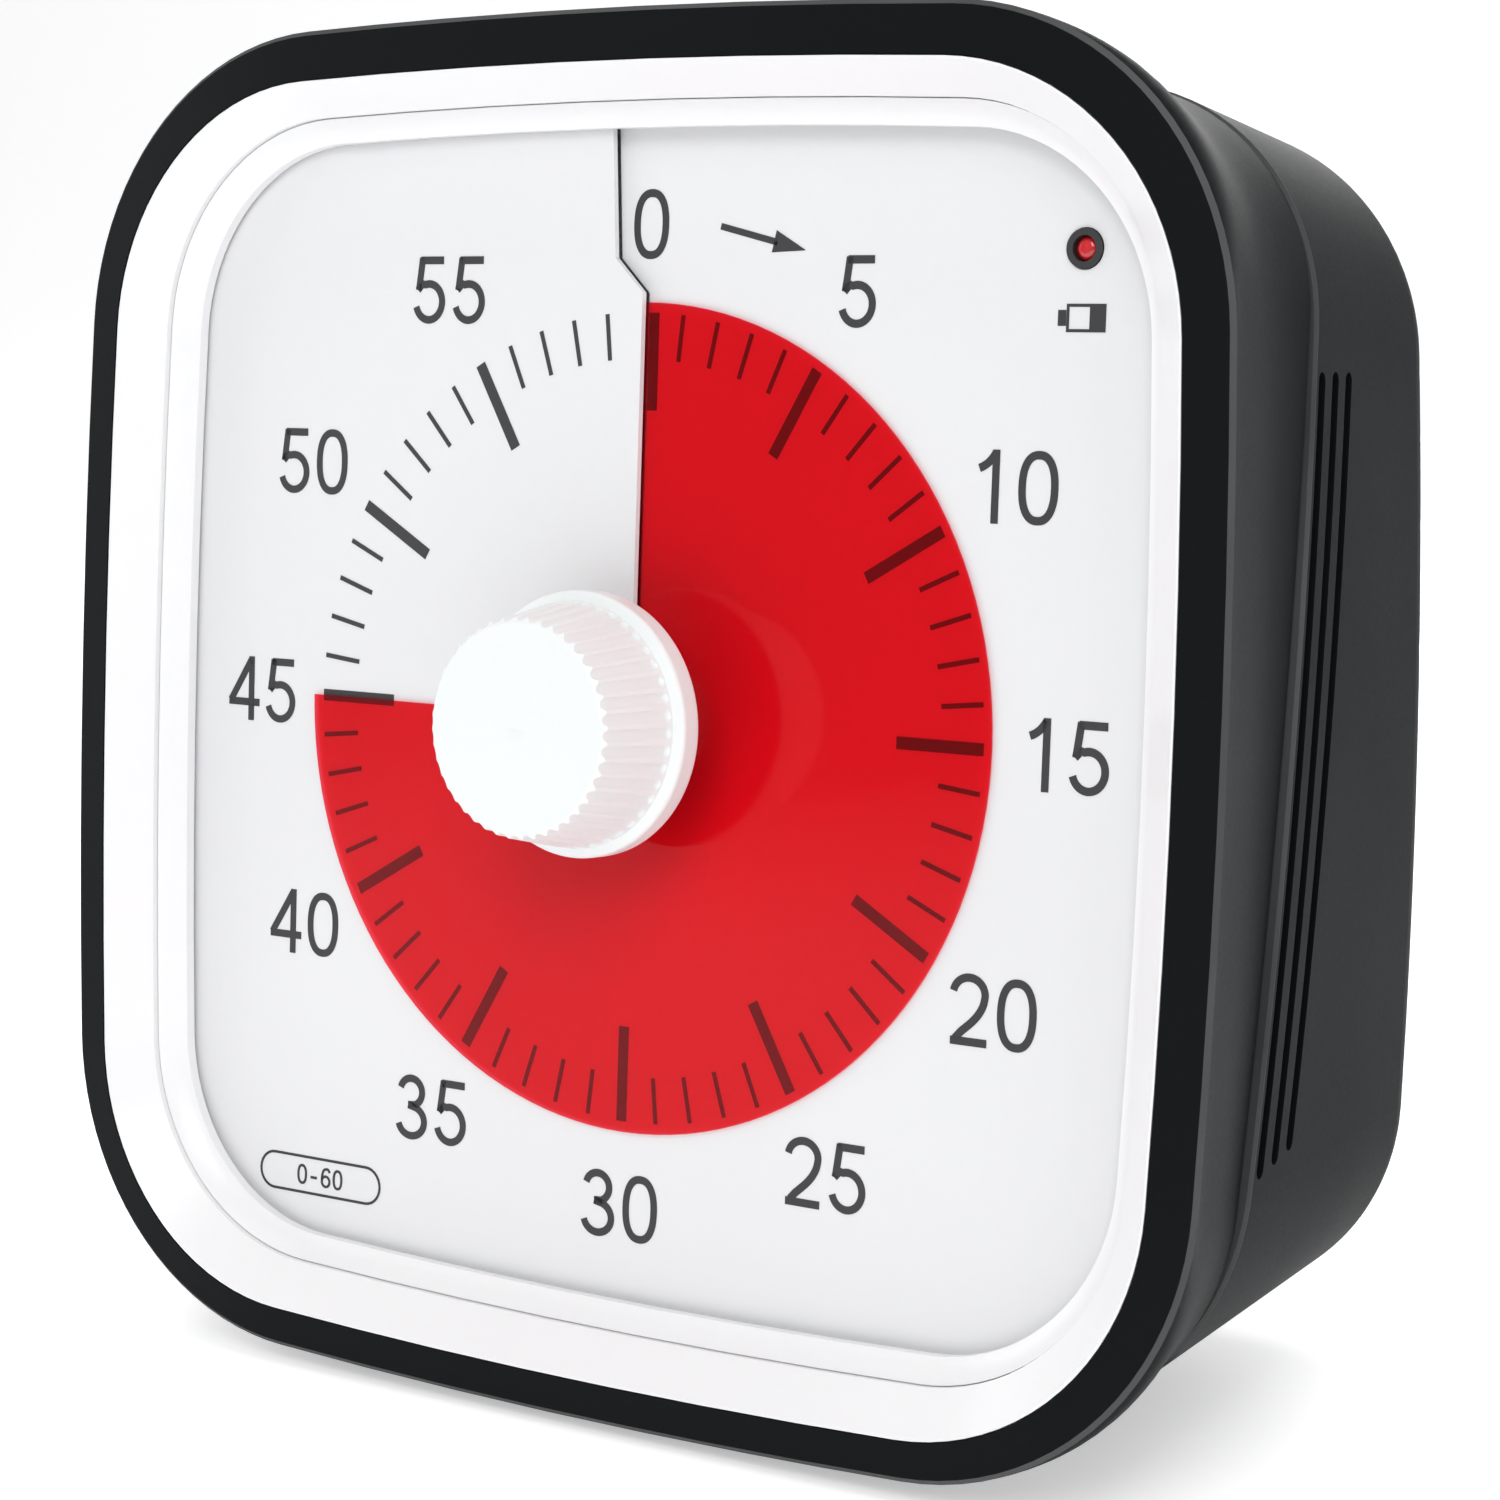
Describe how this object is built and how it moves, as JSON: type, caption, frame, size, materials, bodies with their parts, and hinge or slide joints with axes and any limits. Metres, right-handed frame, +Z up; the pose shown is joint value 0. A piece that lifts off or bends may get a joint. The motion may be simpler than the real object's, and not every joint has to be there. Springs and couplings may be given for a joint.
{
  "type": "countdown timer",
  "caption": "Free-standing visual countdown timer: rounded-square case, slotted white dial, translucent red disc and a fluted centre knob.",
  "frame": {"origin": "on the table surface, under the middle of the bounding box", "axes": "+Z up, -Y out of the front of the timer towards the user, +X to the right as seen from the front; the dial leans back 4 degrees"},
  "size_m": [0.1716, 0.0922, 0.1728],
  "materials": {
    "black_case": "fine moulded texture",
    "white_rim": "smooth white",
    "dial_sheet": "satin printed sheet",
    "white_inner": "plain moulded",
    "steel": "plated",
    "dark_steel": "blackened",
    "cell_wrap": "shrink sleeve",
    "nickel": "nickel plated",
    "black_inner": "plain moulded",
    "switch_white": "plain moulded",
    "foot_rubber": "matt",
    "board_green": "solder mask",
    "chip_black": "epoxy",
    "lamp_red": "tinted epoxy",
    "gear_plastic": "natural acetal",
    "magnet": "sintered",
    "movement_case": "plain moulded",
    "copper": "enamelled wire",
    "white_knob": "satin white",
    "shaft_white": "acetal",
    "hub_white": "plain moulded",
    "red_film": "glossy translucent film"
  },
  "bodies": {
    "case": {"front_frame": "black_case", "rear_shell": "black_case", "bezel": "white_rim", "dial_surround": "white_rim", "dial_plate": "dial_sheet", "dial_carrier": "white_inner", "carrier_screws": "steel", "case_screws": "dark_steel", "battery_cells": "cell_wrap", "contact_plates": "nickel", "contact_springs": "nickel", "switch_body": "black_inner", "front_feet": "foot_rubber", "rear_feet": "foot_rubber", "circuit_board": "board_green", "board_screws": "steel", "control_chip": "chip_black", "crystal": "nickel", "buzzer": "black_inner", "lamp_collar": "black_inner", "signal_lamp": "lamp_red", "wheel_arbors": "steel", "movement_front": "movement_case", "movement_rear": "movement_case", "movement_screws": "steel", "stator": "steel", "coil_core": "steel", "coil_bobbin": "black_inner", "coil_winding": "copper"},
    "knob": {"knob": "white_knob", "knob_shaft": "shaft_white", "clutch_washer": "steel", "retaining_clip": "steel"},
    "film": {"film_hub": "hub_white", "red_film": "red_film"},
    "drive_wheel": {"drive_wheel": "gear_plastic"},
    "fourth_wheel": {"fourth_wheel": "gear_plastic"},
    "third_wheel": {"third_wheel": "gear_plastic"},
    "second_wheel": {"second_wheel": "gear_plastic"},
    "rotor": {"rotor_pinion": "gear_plastic", "rotor_magnet": "magnet"},
    "battery_door": {"battery_door": "black_case"},
    "switch_knob": {"switch_knob": "switch_white"}
  },
  "joints": [
    {"name": "timer_turn", "type": "hinge", "parent": "case", "child": "knob", "pos_m": [0, -0.02176, 0.0866], "axis": [0, 0.9976, -0.0698], "range_deg": [-270, 90]},
    {"name": "film_shift", "type": "slide", "parent": "knob", "child": "film", "axis": [0, -0.9976, 0.0698], "range_m": [-0.00114, 0.00039]},
    {"name": "rotor_turn", "type": "hinge", "parent": "case", "child": "rotor", "pos_m": [0.00742, 0.00103, 0.09711], "axis": [0, 0.9976, -0.0698], "continuous": true},
    {"name": "second_turn", "type": "hinge", "parent": "case", "child": "second_wheel", "pos_m": [-0.00321, -0.00084, 0.09912], "axis": [0, 0.9976, -0.0698], "continuous": true},
    {"name": "third_turn", "type": "hinge", "parent": "case", "child": "third_wheel", "pos_m": [-0.01405, -0.00403, 0.09644], "axis": [0, 0.9976, -0.0698], "continuous": true},
    {"name": "fourth_turn", "type": "hinge", "parent": "case", "child": "fourth_wheel", "pos_m": [-0.016, -0.00779, 0.08562], "axis": [0, 0.9976, -0.0698], "continuous": true},
    {"name": "drive_turn", "type": "hinge", "parent": "case", "child": "drive_wheel", "pos_m": [0, -0.00979, 0.08576], "axis": [0, 0.9976, -0.0698], "continuous": true},
    {"name": "door_slide", "type": "slide", "parent": "case", "child": "battery_door", "axis": [0, 0, -1], "range_m": [0, 0.007]},
    {"name": "switch_slide", "type": "slide", "parent": "case", "child": "switch_knob", "axis": [1, 0, 0], "range_m": [-0.003, 0.003]}
  ],
  "couplings": [
    {"joint": "film_shift", "follows": "timer_turn", "m_per_rad": 0.00023873},
    {"joint": "second_turn", "follows": "rotor_turn", "ratio": -0.125},
    {"joint": "third_turn", "follows": "rotor_turn", "ratio": 0.016667},
    {"joint": "fourth_turn", "follows": "rotor_turn", "ratio": -0.0022222},
    {"joint": "drive_turn", "follows": "rotor_turn", "ratio": 0.00055556}
  ]
}
